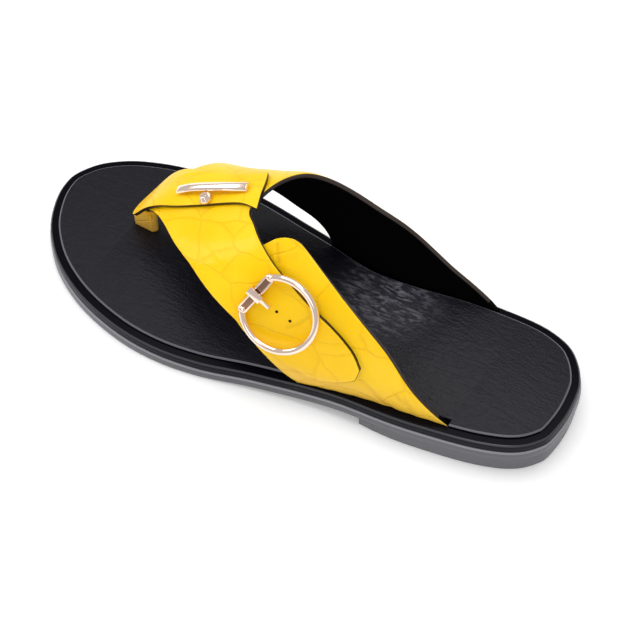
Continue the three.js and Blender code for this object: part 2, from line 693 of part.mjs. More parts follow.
// Wire loop between the quarter and the buckle strap: a flat oval ring on the quarter.
function loopSolid() {
  const steps = 20;
  const points = [];
  const frames = [];
  const girth = instepHeight + loopLength;
  for (let i = 0; i < steps; i++) {
    const angle = (i / steps) * Math.PI * 2;
    const station = loopSeat.station + (Math.cos(angle) * (loopLength - loopWire)) / 2 / soleLength;
    const turn = loopSeat.turn + (Math.sin(angle) * (loopWidth - loopWire)) / 2 / girth;
    points.push(onLast(station, turn, seatGap + loopWire / 2));
  }
  const centre = points.reduce((sum, point) => sum.add(point), new THREE.Vector3()).divideScalar(steps);
  const up = lastNormal(loopSeat.station, loopSeat.turn);
  for (const point of points) {
    const radial = point.clone().sub(centre);
    frames.push({ side: radial.addScaledVector(up, -radial.dot(up)).normalize(), up });
  }
  return sweep(points, frames, roundSection(loopWire, loopWire, 8), true);
}

// Arched half-round bar along the ridge of the saddle, its ends cut square.
function ornamentSolid() {
  const steps = 16;
  const base = seatGap + saddleWall + seatGap;
  const points = [];
  for (let i = 0; i <= steps; i++) {
    const share = i / steps;
    const station = THREE.MathUtils.lerp(ornamentSeat.frontStation, ornamentSeat.backStation, share);
    const turn = THREE.MathUtils.lerp(ornamentSeat.frontTurn, ornamentSeat.backTurn, share);
    points.push(onLast(station, turn, base));
  }
  const frames = points.map((point, i) => {
    const along = points[Math.min(i + 1, steps)].clone().sub(points[Math.max(i - 1, 0)]).normalize();
    const share = i / steps;
    const station = THREE.MathUtils.lerp(ornamentSeat.frontStation, ornamentSeat.backStation, share);
    const turn = THREE.MathUtils.lerp(ornamentSeat.frontTurn, ornamentSeat.backTurn, share);
    const up = lastNormal(station, turn);
    return { side: new THREE.Vector3().crossVectors(along, up).normalize(), up };
  });
  const half = ornamentWidth / 2;
  const section = ornamentSection.map(({ across, up }) => [across * half, up * ornamentHeight]);
  return sweep(points, frames, section, false);
}

// Faceted round stud: eight flats under a smaller flat top.
function studSolid() {
  const base = seatGap + saddleWall + seatGap;
  const half = studWidth / 2;
  const profile = studProfile.map(({ radius, up }) => new THREE.Vector2(radius * half, up * studHeight));
  const lathe = new THREE.LatheGeometry(profile, studSides);
  lathe.rotateX(Math.PI / 2);
  const up = lastNormal(studSeat.station, studSeat.turn);
  lathe.applyQuaternion(new THREE.Quaternion().setFromUnitVectors(new THREE.Vector3(0, 0, 1), up));
  const seat = onLast(studSeat.station, studSeat.turn, base);
  lathe.translate(seat.x, seat.y, seat.z);
  return toSolid(lathe);
}

const footbedOutline = insetLoop(soleOutline, footbedInset);
const insoleOutline = insetLoop(soleOutline, insoleMargin);
const heelOutline = heelLoop(insetLoop(soleOutline, heelInset), heelLength - soleLength / 2, heelHollow);

const band = leather(bandRows, -strapWall, 0, strapTuck);
const quarter = leather(quarterRows, -strapWall, 0, strapTuck);
const [slots, notches] = [slotGap, insoleMargin].map((reach) =>
  footSlot(bandRows, reach).add(footSlot(quarterRows, reach)),
);
const postSlotPlan = postPlan(seatGap);
const slotRoof = () => instepHeight / 3;
const postSlot = prism(postSlotPlan, () => 0, slotRoof);
const postFloor = (point) => footbedTop(point.x) - strapTuck;
const postPocket = prism(postSlotPlan, (point) => postFloor(point) - seatGap, slotRoof);

const solids = {
  heel: layer(heelOutline, () => 0, (x) => treadZ(x) - seatGap, edgeRound / 2),
  outsole: layer(soleOutline, treadZ, (x) => treadZ(x) + outsoleThickness, edgeRound),
  footbed: layer(footbedOutline, footbedBottom, footbedTop, edgeRound).subtract(slots).subtract(postPocket),
  insole: layer(
    insoleOutline,
    (x) => footbedTop(x) + seatGap,
    (x) => footbedTop(x) + seatGap + insoleThickness,
    edgeRound,
  ).subtract(notches).subtract(postSlot),
  upper: band.add(quarter),
  saddle: leather(saddleRows, seatGap, seatGap + saddleWall, 0),
  toe_post: prism(postPlan(0), postFloor, (point) => heightOver(point.x, point.y, -strapWall - seatGap)),
  buckle_frame: ringSolid(),
  buckle_prong: prongSolid(),
  buckle_loop: loopSolid(),
  ornament_bar: ornamentSolid(),
  ornament_stud: studSolid(),
};

const finishes = {
  heel: { color: 0x1c1b20, roughness: 0.5, metalness: 0 },
  outsole: { color: 0x1b1a1f, roughness: 0.45, metalness: 0 },
  footbed: { color: 0x1a1920, roughness: 0.35, metalness: 0 },
  insole: { color: 0x1d1c24, roughness: 0.45, metalness: 0 },
  upper: { color: 0xfdd405, roughness: 0.4, metalness: 0 },
  saddle: { color: 0xfdd405, roughness: 0.4, metalness: 0 },
  toe_post: { color: 0xe8a80c, roughness: 0.5, metalness: 0 },
  buckle_frame: { color: 0xe9bd8e, roughness: 0.15, metalness: 1 },
  buckle_prong: { color: 0xe9bd8e, roughness: 0.15, metalness: 1 },
  buckle_loop: { color: 0xe9bd8e, roughness: 0.2, metalness: 1 },
  ornament_bar: { color: 0xe9bd8e, roughness: 0.12, metalness: 1 },
  ornament_stud: { color: 0xe9bd8e, roughness: 0.12, metalness: 1 },
};

const sandal = new THREE.Group();
for (const [name, solid] of Object.entries(solids)) {
  const mesh = new THREE.Mesh(fromSolid(solid), new THREE.MeshStandardMaterial(finishes[name]));
  mesh.name = name;
  sandal.add(mesh);
}

export default sandal;
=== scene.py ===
import bmesh
import bpy
import math
from mathutils import Matrix, Vector
from mathutils.bvhtree import BVHTree
from mathutils.kdtree import KDTree


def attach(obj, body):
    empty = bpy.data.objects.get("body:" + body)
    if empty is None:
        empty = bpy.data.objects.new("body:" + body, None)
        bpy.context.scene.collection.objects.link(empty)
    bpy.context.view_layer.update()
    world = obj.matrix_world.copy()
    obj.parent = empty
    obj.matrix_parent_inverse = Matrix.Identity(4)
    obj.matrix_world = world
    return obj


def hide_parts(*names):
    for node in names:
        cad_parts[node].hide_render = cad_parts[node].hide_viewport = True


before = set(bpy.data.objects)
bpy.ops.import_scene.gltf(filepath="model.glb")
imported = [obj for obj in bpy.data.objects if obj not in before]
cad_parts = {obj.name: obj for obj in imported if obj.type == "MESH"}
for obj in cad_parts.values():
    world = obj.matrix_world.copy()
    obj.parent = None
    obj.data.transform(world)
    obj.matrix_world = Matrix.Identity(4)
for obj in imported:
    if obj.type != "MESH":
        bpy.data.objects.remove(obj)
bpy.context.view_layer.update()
scene = bpy.context.scene


# Heel: a low block of hard grey rubber glued under the back of the outsole, its arrises just
# broken with a file. Its grey is partly a painted reflection of the white floor, and its broken
# arrises are painted paler as a highlight. Its finish is the first to use the leather grain, a
# shared effect that gives fine pores over long soft folds.
WELD_WITHIN = 0.000002
FLAT_WITHIN = math.radians(50)
SQUARE_WITHIN = math.radians(60)
ARRIS = 0.0002
SLOPE_LEAST = 0.3
SLOPE_MOST = 0.93
SLOPE_HIGHLIGHT = 1
FINE_GRAIN = {"Pores": 900, "Folds": 30}


def make_group(name, inputs, outputs):
    tree = bpy.data.node_groups.new(name, "ShaderNodeTree")
    for label, kind, value in inputs:
        socket = tree.interface.new_socket(name=label, in_out="INPUT", socket_type=kind)
        socket.default_value = value
    for label, kind in outputs:
        tree.interface.new_socket(name=label, in_out="OUTPUT", socket_type=kind)
    return tree, tree.nodes.new("NodeGroupInput"), tree.nodes.new("NodeGroupOutput")


def add_node(tree, kind, operation=None, **values):
    node = tree.nodes.new(kind)
    if operation:
        node.operation = operation
    for label, value in values.items():
        node.inputs[label.replace("_", " ")].default_value = value
    return node


def link_nodes(tree, *pairs):
    for start, end in pairs:
        tree.links.new(start, end)


grain, grain_in, grain_out = make_group(
    "leather_grain",
    (
        ("Pores", "NodeSocketFloat", 900.0),
        ("Folds", "NodeSocketFloat", 40.0),
        ("Across", "NodeSocketFloat", 1.0),
        ("Pore Height", "NodeSocketFloat", 0.35),
    ),
    (("Height", "NodeSocketFloat"), ("Mottle", "NodeSocketFloat")),
)
grain_place = grain.nodes.new("ShaderNodeTexCoord")
stretch = add_node(grain, "ShaderNodeCombineXYZ", X=1, Z=1)
stretched = add_node(grain, "ShaderNodeVectorMath", "MULTIPLY")
pores = grain.nodes.new("ShaderNodeTexVoronoi")
pores.feature = "DISTANCE_TO_EDGE"
folds = add_node(grain, "ShaderNodeTexNoise", Detail=5, Distortion=0.8)
grain_height = add_node(grain, "ShaderNodeMath", "MULTIPLY_ADD")
link_nodes(
    grain,
    (grain_in.outputs["Across"], stretch.inputs["Y"]),
    (grain_place.outputs["Object"], stretched.inputs[0]),
    (stretch.outputs[0], stretched.inputs[1]),
    (grain_place.outputs["Object"], pores.inputs["Vector"]),
    (stretched.outputs[0], folds.inputs["Vector"]),
    (grain_in.outputs["Pores"], pores.inputs["Scale"]),
    (grain_in.outputs["Folds"], folds.inputs["Scale"]),
    (pores.outputs["Distance"], grain_height.inputs[0]),
    (grain_in.outputs["Pore Height"], grain_height.inputs[1]),
    (folds.outputs["Fac"], grain_height.inputs[2]),
    (grain_height.outputs[0], grain_out.inputs["Height"]),
    (folds.outputs["Fac"], grain_out.inputs["Mottle"]),
)


def grained_material(name, color, roughness, depth, specular=0.5, coat=0.0, **grain_values):
    material = bpy.data.materials.new(name)
    material.use_nodes = True
    tree = material.node_tree
    shader = tree.nodes["Principled BSDF"]
    shader.inputs["Base Color"].default_value = (*color, 1)
    shader.inputs["Roughness"].default_value = roughness
    shader.inputs["Specular IOR Level"].default_value = specular
    shader.inputs["Coat Weight"].default_value = coat
    shader.inputs["Coat Roughness"].default_value = 0.2
    texture = tree.nodes.new("ShaderNodeGroup")
    texture.node_tree = grain
    for label, value in grain_values.items():
        texture.inputs[label.replace("_", " ")].default_value = value
    bump = add_node(tree, "ShaderNodeBump", Strength=0.6, Distance=depth)
    link_nodes(
        tree,
        (texture.outputs["Height"], bump.inputs["Height"]),
        (bump.outputs["Normal"], shader.inputs["Normal"]),
    )
    return material


# A copy of a CAD node's mesh, its loose triangles merged and paired into quads.
def copy_node(node, name, *materials):
    bpy.ops.object.select_all(action="DESELECT")
    piece = bpy.data.objects.new(name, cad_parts[node].data.copy())
    scene.collection.objects.link(piece)
    piece.data.materials.clear()
    for material in materials:
        piece.data.materials.append(material)
    bpy.context.view_layer.objects.active = piece
    piece.select_set(True)
    bpy.ops.object.mode_set(mode="EDIT")
    bpy.ops.mesh.select_all(action="SELECT")
    bpy.ops.mesh.remove_doubles(threshold=WELD_WITHIN)
    bpy.ops.mesh.tris_convert_to_quads(face_threshold=FLAT_WITHIN, shape_threshold=SQUARE_WITHIN)
    bpy.ops.object.mode_set(mode="OBJECT")
    return piece


def apply_modifier(piece, kind, **settings):
    modifier = piece.modifiers.new(kind.lower(), kind)
    for label, value in settings.items():
        setattr(modifier, label, value)
    bpy.context.view_layer.objects.active = piece
    bpy.ops.object.modifier_apply(modifier=modifier.name)


def round_edges(piece, width, sharper_than=32, segments=2):
    apply_modifier(
        piece, "BEVEL", width=width, segments=segments, limit_method="ANGLE",
        angle_limit=math.radians(sharper_than),
    )


# The trimmed slope of an edge, picked by how far its faces lean up, takes the second, paler finish as
# a painted highlight line.
def paint_slope_highlights(piece):
    for face in piece.data.polygons:
        if SLOPE_LEAST < face.normal.z < SLOPE_MOST:
            face.material_index = SLOPE_HIGHLIGHT


def finish_piece(piece, slot, *nodes, smooth_below=34):
    bpy.context.view_layer.objects.active = piece
    bpy.ops.object.shade_smooth_by_angle(angle=math.radians(smooth_below))
    if nodes:
        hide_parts(*nodes)
    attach(piece, "root")


heel_rubber = grained_material(
    "heel_rubber", color=(0.1, 0.1, 0.112), roughness=0.4, depth=0.0001, **FINE_GRAIN
)
# The paler edge colour is a painted highlight on the rubber's trimmed slopes.
rubber_edge_highlight = grained_material(
    "rubber_edge_highlight", color=(0.26, 0.26, 0.28), roughness=0.4, depth=0.0001, **FINE_GRAIN
)
heel = copy_node("heel", "heel_stack", heel_rubber, rubber_edge_highlight)
paint_slope_highlights(heel)
round_edges(heel, ARRIS)
finish_piece(heel, "stack", "heel")

# Outsole: a thin plate of smooth rubber in the foot's true outline, with a narrow waist and a
# little toe spring. It is the grey of the heel, and its trimmed upper edge is painted paler as a
# highlight line.
sole_rubber = grained_material(
    "sole_rubber", color=(0.075, 0.075, 0.085), roughness=0.35, depth=0.0001, **FINE_GRAIN
)
outsole = copy_node("outsole", "sole_plate", sole_rubber, rubber_edge_highlight)
paint_slope_highlights(outsole)
round_edges(outsole, ARRIS)
finish_piece(outsole, "rubber", "outsole")

# Footbed: the board that carries the straps, covered in smooth black leather. The rim's folded
# edge is painted paler as a highlight, so it shines as one thin line all round the shoe.
rim_leather = grained_material(
    "rim_leather", color=(0.002, 0.002, 0.004), roughness=0.24, depth=0.0001, specular=0.05,
    **FINE_GRAIN,
)
# The paler edge colour is a painted highlight on the rim's trimmed slope.
rim_edge_highlight = grained_material(
    "rim_edge_highlight", color=(0.035, 0.035, 0.042), roughness=0.22, depth=0.00005, **FINE_GRAIN
)
footbed = copy_node("footbed", "footbed_board", rim_leather, rim_edge_highlight)
paint_slope_highlights(footbed)
round_edges(footbed, ARRIS)
finish_piece(footbed, "board", "footbed")

# Insole: a thin sock pad of soft black grained leather in the groove of the footbed. It has fine
# crosswise wrinkles, its cut edge is painted paler as a thin highlight line, and paler streaks
# under the arch are a painted sheen.
SOCK_BLACK = (0.005, 0.0045, 0.0085)
SOCK_SHEEN = (0.16, 0.155, 0.185)
SOCK_ARRIS = 0.00015
ARCH_MIDDLE = (-0.035, -0.03, 0.023)
ARCH_FULL = 0.006
ARCH_END = 0.036
STREAK_START = 0.46
STREAK_FULL = 0.7
STREAK_LEAST = 0.12
MIX_A = 6
MIX_B = 7
MIXED_COLOR = 2


def add_range(tree, start, end, low=0.0, high=1.0, interpolation="LINEAR"):
    node = add_node(tree, "ShaderNodeMapRange", From_Min=start, From_Max=end, To_Min=low, To_Max=high)
    node.interpolation_type = interpolation
    return node


def add_mix(tree, first=None, second=None):
    node = tree.nodes.new("ShaderNodeMix")
    node.data_type = "RGBA"
    if first:
        node.inputs[MIX_A].default_value = (*first, 1)
    if second:
        node.inputs[MIX_B].default_value = (*second, 1)
    return node


sock_leather = grained_material(
    "sock_leather", color=SOCK_BLACK, roughness=0.33, depth=0.0006, specular=0.2,
    Pores=620, Folds=170, Across=3.4, Pore_Height=0.5,
)
# The paler edge colour is a painted highlight on the sock's trimmed slope.
sock_edge_highlight = grained_material(
    "sock_edge_highlight", color=(0.1, 0.1, 0.115), roughness=0.35, depth=0.00005, **FINE_GRAIN
)
# Under the arch the black is mixed in streaks towards a paler grey: a painted sheen.
sock_tree = sock_leather.node_tree
sock_place = sock_tree.nodes.new("ShaderNodeTexCoord")
from_arch = add_node(sock_tree, "ShaderNodeVectorMath", "DISTANCE")
from_arch.inputs[1].default_value = ARCH_MIDDLE
near_arch = add_range(sock_tree, ARCH_END, ARCH_FULL, interpolation="SMOOTHSTEP")
streaks = add_range(sock_tree, STREAK_START, STREAK_FULL, low=STREAK_LEAST)
sheen_streaks = add_node(sock_tree, "ShaderNodeMath", "MULTIPLY")
sheen_mix = add_mix(sock_tree, SOCK_BLACK, SOCK_SHEEN)
link_nodes(
    sock_tree,
    (sock_place.outputs["Object"], from_arch.inputs[0]),
    (from_arch.outputs["Value"], near_arch.inputs["Value"]),
    (sock_tree.nodes["Group"].outputs["Mottle"], streaks.inputs["Value"]),
    (near_arch.outputs[0], sheen_streaks.inputs[0]),
    (streaks.outputs[0], sheen_streaks.inputs[1]),
    (sheen_streaks.outputs[0], sheen_mix.inputs["Factor"]),
    (sheen_mix.outputs[MIXED_COLOR], sock_tree.nodes["Principled BSDF"].inputs["Base Color"]),
)
sock = copy_node("insole", "sock_pad", sock_leather, sock_edge_highlight)
paint_slope_highlights(sock)
round_edges(sock, SOCK_ARRIS)
finish_piece(sock, "sock", "insole")

# Upper: the crossed straps, yellow leather pressed with large reptile scales, lined in black and
# painted dark along every cut edge. The wall is one piece, smoothed between its cut rows, and the
# raised veins and the creases of wear are drawn on it.
SCALE_YELLOW = (0.96, 0.56, 0.0005)
LINE_YELLOW = (0.9, 0.49, 0.0005)
SHEEN_YELLOW = (0.98, 0.65, 0.02)
WARP_REACH = 0.007
CELL_STRETCH = (0.7, 1.2, 1.0)
LINE_HALF_WIDTH = 0.03
LINE_STRENGTH = 0.4
PATCH_START = 0.4
PATCH_FULL = 0.75
scales, scales_in, scales_out = make_group(
    "pressed_scales",
    (
        ("Size", "NodeSocketFloat", 46.0),
        ("Face", "NodeSocketColor", (*SCALE_YELLOW, 1)),
        ("Line", "NodeSocketColor", (*LINE_YELLOW, 1)),
        ("Worn", "NodeSocketColor", (*SHEEN_YELLOW, 1)),
    ),
    (("Color", "NodeSocketColor"), ("Height", "NodeSocketFloat")),
)
scale_place = scales.nodes.new("ShaderNodeTexCoord")
warp_noise = add_node(scales, "ShaderNodeTexNoise", Scale=55, Detail=3)
centred = add_node(scales, "ShaderNodeVectorMath", "SUBTRACT")
centred.inputs[1].default_value = (0.5, 0.5, 0.5)
warp = add_node(scales, "ShaderNodeVectorMath", "SCALE", Scale=WARP_REACH)
moved = add_node(scales, "ShaderNodeVectorMath", "ADD")
long_cells = add_node(scales, "ShaderNodeVectorMath", "MULTIPLY")
long_cells.inputs[1].default_value = CELL_STRETCH
cells = scales.nodes.new("ShaderNodeTexVoronoi")
cells.feature = "DISTANCE_TO_EDGE"
cell_face = add_range(scales, 0, LINE_HALF_WIDTH, interpolation="SMOOTHSTEP")
# Noise patches mix in the paler third colour of the scales, a painted sheen.
patches = add_node(scales, "ShaderNodeTexNoise", Scale=30, Detail=5)
patch_range = add_range(scales, PATCH_START, PATCH_FULL)
face_mix = add_mix(scales)
line_fade = add_node(scales, "ShaderNodeMath", "MULTIPLY_ADD")
line_fade.inputs[1].default_value = LINE_STRENGTH
line_fade.inputs[2].default_value = 1 - LINE_STRENGTH
line_mix = add_mix(scales)
link_nodes(
    scales,
    (scale_place.outputs["Object"], warp_noise.inputs["Vector"]),
    (warp_noise.outputs["Color"], centred.inputs[0]),
    (centred.outputs[0], warp.inputs[0]),
    (scale_place.outputs["Object"], moved.inputs[0]),
    (warp.outputs[0], moved.inputs[1]),
    (moved.outputs[0], long_cells.inputs[0]),
    (long_cells.outputs[0], cells.inputs["Vector"]),
    (scales_in.outputs["Size"], cells.inputs["Scale"]),
    (cells.outputs["Distance"], cell_face.inputs["Value"]),
    (scale_place.outputs["Object"], patches.inputs["Vector"]),
    (patches.outputs["Fac"], patch_range.inputs["Value"]),
    (patch_range.outputs[0], face_mix.inputs["Factor"]),
    (scales_in.outputs["Face"], face_mix.inputs[MIX_A]),
    (scales_in.outputs["Worn"], face_mix.inputs[MIX_B]),
    (cell_face.outputs[0], line_fade.inputs[0]),
    (line_fade.outputs[0], line_mix.inputs["Factor"]),
    (scales_in.outputs["Line"], line_mix.inputs[MIX_A]),
    (face_mix.outputs[MIXED_COLOR], line_mix.inputs[MIX_B]),
    (line_mix.outputs[MIXED_COLOR], scales_out.inputs["Color"]),
    (cell_face.outputs[0], scales_out.inputs["Height"]),
)
SHADE_BROWN = (0.4, 0.17, 0.004)
LOW_TAN = (0.82, 0.5, 0.13)
TAN_TOP = 0.036
TAN_FULL = 0.018
TAN_MOST = 0.5


# The pressed scales over the grain, browned as painted shade in the creases marked on the mesh,
# and turned paler tan towards the sole.
def scaled_material(name, **scale_values):
    material = grained_material(
        name, color=SCALE_YELLOW, roughness=0.36, depth=0.0004, specular=0.1, coat=0.14,
        Pores=420, Folds=110, Across=0.5,
    )
    tree = material.node_tree
    pressed = tree.nodes.new("ShaderNodeGroup")
    pressed.node_tree = scales
    for label, value in scale_values.items():
        pressed.inputs[label].default_value = (*value, 1)
    sunk = add_node(tree, "ShaderNodeBump", Strength=0.6, Distance=0.0004)
    crease_shade = tree.nodes.new("ShaderNodeAttribute")
    crease_shade.attribute_name = "crease_shade"
    crease_shade_mix = add_mix(tree, second=SHADE_BROWN)
    place = tree.nodes.new("ShaderNodeTexCoord")
    axes = tree.nodes.new("ShaderNodeSeparateXYZ")
    # Towards the sole the colour is mixed towards a paler tan.
    near_sole = add_range(tree, TAN_TOP, TAN_FULL, high=TAN_MOST, interpolation="SMOOTHSTEP")
    low_tan_mix = add_mix(tree, second=LOW_TAN)
    link_nodes(
        tree,
        (crease_shade.outputs["Fac"], crease_shade_mix.inputs["Factor"]),
        (pressed.outputs["Color"], crease_shade_mix.inputs[MIX_A]),
        (place.outputs["Object"], axes.inputs[0]),
        (axes.outputs["Z"], near_sole.inputs["Value"]),
        (near_sole.outputs[0], low_tan_mix.inputs["Factor"]),
        (crease_shade_mix.outputs[MIXED_COLOR], low_tan_mix.inputs[MIX_A]),
        (low_tan_mix.outputs[MIXED_COLOR], tree.nodes["Principled BSDF"].inputs["Base Color"]),
        (pressed.outputs["Height"], sunk.inputs["Height"]),
        (sunk.outputs["Normal"], tree.nodes["Bump"].inputs["Normal"]),
    )
    return material


LINING = 1
CUT_EDGE = 2
SHARP_ANGLE = math.radians(38)
SHARP_CREASE = 0.75
JUST_INSIDE = 0.00005
LOOK_BEHIND = 0.05


# A skin face has the other skin close behind it and a cut edge doesn't. The yellow skin is the
# one that looks away from the middle of the foot.
def paint_skins(piece, middle, thickest):
    body = bmesh.new()
    body.from_mesh(piece.data)
    tree = BVHTree.FromBMesh(body)
    crease = body.edges.layers.float.new("crease_edge")
    for edge in body.edges:
        if edge.calc_face_angle(0) > SHARP_ANGLE:
            edge[crease] = SHARP_CREASE
    for face in body.faces:
        centre = face.calc_center_median()
        hit = tree.ray_cast(centre - face.normal * JUST_INSIDE, -face.normal, LOOK_BEHIND)
        outward = face.normal.dot(centre - Vector((centre.x, *middle))) > 0
        if hit[0] is None or hit[3] > thickest:
            face.material_index = CUT_EDGE
        elif not outward:
            face.material_index = LINING
    body.to_mesh(piece.data)
    body.free()


MM_PER_METRE = 1000
LINE_STEP = 0.0004
SAME_SKIN = 0.4
SHADE_MOST = 0.8


# A raised vein (height above zero) or a sunk crease, drawn through points given in millimetres.
# A sunk crease is browned as painted shade, and the given strength says how brown that makes it
# for each metre of depth.
def draw_line(piece, width, height, shade_strength, *points):
    shade_layer = piece.data.attributes.get("crease_shade")
    shade_layer = shade_layer or piece.data.attributes.new("crease_shade", "FLOAT", "POINT")
    tree = KDTree(len(piece.data.vertices))
    for vertex in piece.data.vertices:
        tree.insert(vertex.co, vertex.index)
    tree.balance()
    nearest = {}
    facing = [vertex.normal.copy() for vertex in piece.data.vertices]
    for start, end in zip(points, points[1:]):
        start, end = Vector(start) / MM_PER_METRE, Vector(end) / MM_PER_METRE
        steps = max(2, int((end - start).length / LINE_STEP))
        for step in range(steps + 1):
            found, spot, normal, _ = piece.closest_point_on_mesh(start.lerp(end, step / steps))
            if not found:
                continue
            for _, index, away in tree.find_range(spot, width):
                if facing[index].dot(normal) > SAME_SKIN:
                    nearest[index] = min(away, nearest.get(index, width))
    for index, away in nearest.items():
        fall = (1 - (away / width) ** 2) ** 2
        piece.data.vertices[index].co += facing[index] * height * fall
        shade_added = max(0, -height) * shade_strength * fall
        shade_layer.data[index].value = min(SHADE_MOST, shade_layer.data[index].value + shade_added)


yellow_leather = scaled_material("yellow_leather")
black_lining = grained_material(
    "black_lining", color=(0.001, 0.001, 0.0012), roughness=0.6, depth=0.0002, specular=0.04,
    Pores=700, Folds=60,
)
painted_edge = grained_material(
    "painted_edge", color=(0.02, 0.008, 0.004), roughness=0.4, depth=0.0001, Pores=700, Folds=60
)
STRAP_MIDDLE = (-0.012, 0.03)
STRAP_THICKEST = 0.0055
strap = copy_node("upper", "strap_leather", yellow_leather, black_lining, painted_edge)
paint_skins(strap, STRAP_MIDDLE, STRAP_THICKEST)
apply_modifier(strap, "SUBSURF", levels=2, render_levels=2)
VEIN = 0.0018
CREASE = 0.0015
HOLLOW = 0.003
WIDE_HOLLOW = 0.004
TAIL_LINE = 0.0011
UNSHADED = 0
CREASE_SHADED = 700
EDGE_PAINT_AND_SHADE = 2600
# Sunk creases with a brown strength are browned as painted shade; along the tail's lower edge the
# brown is partly the real dark edge paint and partly a painted shadow line.
for width, height, shade_strength, *points in (
    (
        VEIN, 0.00035, UNSHADED, (0, -52, 68), (-1, -52, 56), (1, -52, 46), (-8, -52, 36),
        (-16, -52, 26), (-22, -50, 20),
    ),
    (VEIN, 0.00025, UNSHADED, (0, -52, 50), (12, -52, 47), (28, -50, 42)),
    (VEIN, 0.00025, UNSHADED, (-8, -52, 37), (6, -52, 33), (14, -52, 27)),
    (VEIN, 0.00025, UNSHADED, (-20, -50, 23), (-34, -50, 24), (-42, -50, 28), (-50, -50, 35)),
    (VEIN, 0.0002, UNSHADED, (-1, -52, 56), (-12, -52, 54), (-20, -51, 57)),
    (VEIN, 0.0002, UNSHADED, (38, -48, 60), (34, -49, 52), (28, -50, 42), (24, -50, 34)),
    (
        CREASE, 0.0003, UNSHADED, (44.3, 10.2, 62.7), (34.9, 16.9, 64.8), (26.6, 21.2, 65.3),
        (18.2, 25.1, 64), (14.6, 27.2, 62),
    ),
    (
        CREASE, 0.0002, UNSHADED, (43.7, 8, 63.4), (32.9, 15.1, 66.3), (25, 19.6, 66.8),
        (16.8, 23.4, 65.8),
    ),
    (VEIN, 0.0002, UNSHADED, (56.8, 16.6, 55.5), (51.7, 8.4, 59.5)),
    (VEIN, 0.0002, UNSHADED, (49.2, 21.9, 56.6), (38.2, 24.6, 59.4), (31.3, 22.7, 62.9)),
    (CREASE, 0.0003, UNSHADED, (7.9, 4.5, 75.7), (3.6, 10.5, 71.8)),
    (CREASE, -0.0004, CREASE_SHADED, (5.9, 4.8, 75.7), (1.7, 10.6, 71.8)),
    (WIDE_HOLLOW, -0.0006, UNSHADED, (-3.4, 1, 78.7), (-5.9, 4.3, 76.6), (-4.7, 7.5, 74.2)),
    (CREASE, -0.0003, CREASE_SHADED, (-13.6, 29.3, 51.3), (-18.9, 26.5, 55), (-22.4, 23.4, 59.5)),
    (
        CREASE, -0.0005, CREASE_SHADED, (-52.5, 27, 32.8), (-58.4, 27, 28.3), (-65.5, 26.9, 22.2),
        (-68.9, 26.7, 21.8),
    ),
    (CREASE, -0.0004, CREASE_SHADED, (-70.9, 25.3, 33.5), (-72.9, 25.6, 30.7), (-75.3, 25.7, 27.9)),
    (CREASE, -0.0004, CREASE_SHADED, (-76.1, 25.1, 31.8), (-78.6, 25.3, 27.2), (-80.5, 25.4, 22.9)),
    (
        HOLLOW, -0.0006, UNSHADED, (-49.7, 20, 54.9), (-52.2, 21.3, 51.4), (-56, 23, 46.1),
        (-59, 24, 42.3),
    ),
    (HOLLOW, -0.0004, UNSHADED, (-23.3, 35.1, 27.2), (-25.7, 33.6, 19.2)),
    (
        TAIL_LINE, -0.0003, EDGE_PAINT_AND_SHADE, (-50.7, 29.2, 33.1), (-49.2, 29.7, 31.6), (-45.9, 30.7, 29.3),
        (-41.9, 31.7, 27), (-38, 32.6, 25.5), (-34.4, 33.4, 24.7), (-30, 34, 24.2),
    ),
):
    draw_line(strap, width, height, shade_strength, *points)
finish_piece(strap, "strap", "upper", smooth_below=50)

# Saddle: the overlay of the same leather on the ridge, stretched over the joint of the straps,
# with its front tongue bent down over the toe post. Light wrinkles run along its inner shoulder.
SADDLE_MIDDLE = (-0.012, 0.02)
SADDLE_THICKEST = 0.0026
WRINKLE = 0.002
saddle = copy_node("saddle", "saddle_leather", yellow_leather, black_lining, painted_edge)
paint_skins(saddle, SADDLE_MIDDLE, SADDLE_THICKEST)
apply_modifier(saddle, "SUBSURF", levels=2, render_levels=2)
draw_line(saddle, WRINKLE, 0.0003, UNSHADED, (78.8, -18, 51.8), (75, -20.5, 54.3), (68.1, -22.2, 58.1))
# The sunk wrinkle is browned as painted shade.
draw_line(saddle, WRINKLE, -0.0002, CREASE_SHADED, (77, -20, 51.5), (72, -23, 54.5), (64, -25, 58.5))
finish_piece(saddle, "strap", "saddle", smooth_below=50)

# Toe post: a short strip of the yellow leather folded into a loop and glued through the footbed.
# It stands in the shade of the tongue; its darker orange is partly the raw fold's colour and
# partly painted shade.
FOLD_ROUNDING = 0.0006
post_leather = scaled_material("post_leather", Face=(0.85, 0.42, 0.005), Worn=(0.9, 0.5, 0.02))
toe_loop = copy_node("toe_post", "toe_loop", post_leather)
round_edges(toe_loop, FOLD_ROUNDING)
finish_piece(toe_loop, "post", "toe_post")


# Buckle ring: a round bar bent into a D and polished, cut off where the flat bar closes it. It is
# metal with a rose gold plating, as all the fittings are.
def metal_material(name, color, roughness):
    material = bpy.data.materials.new(name)
    material.use_nodes = True
    shader = material.node_tree.nodes["Principled BSDF"]
    shader.inputs["Base Color"].default_value = (*color, 1)
    shader.inputs["Metallic"].default_value = 1
    shader.inputs["Roughness"].default_value = roughness
    return material


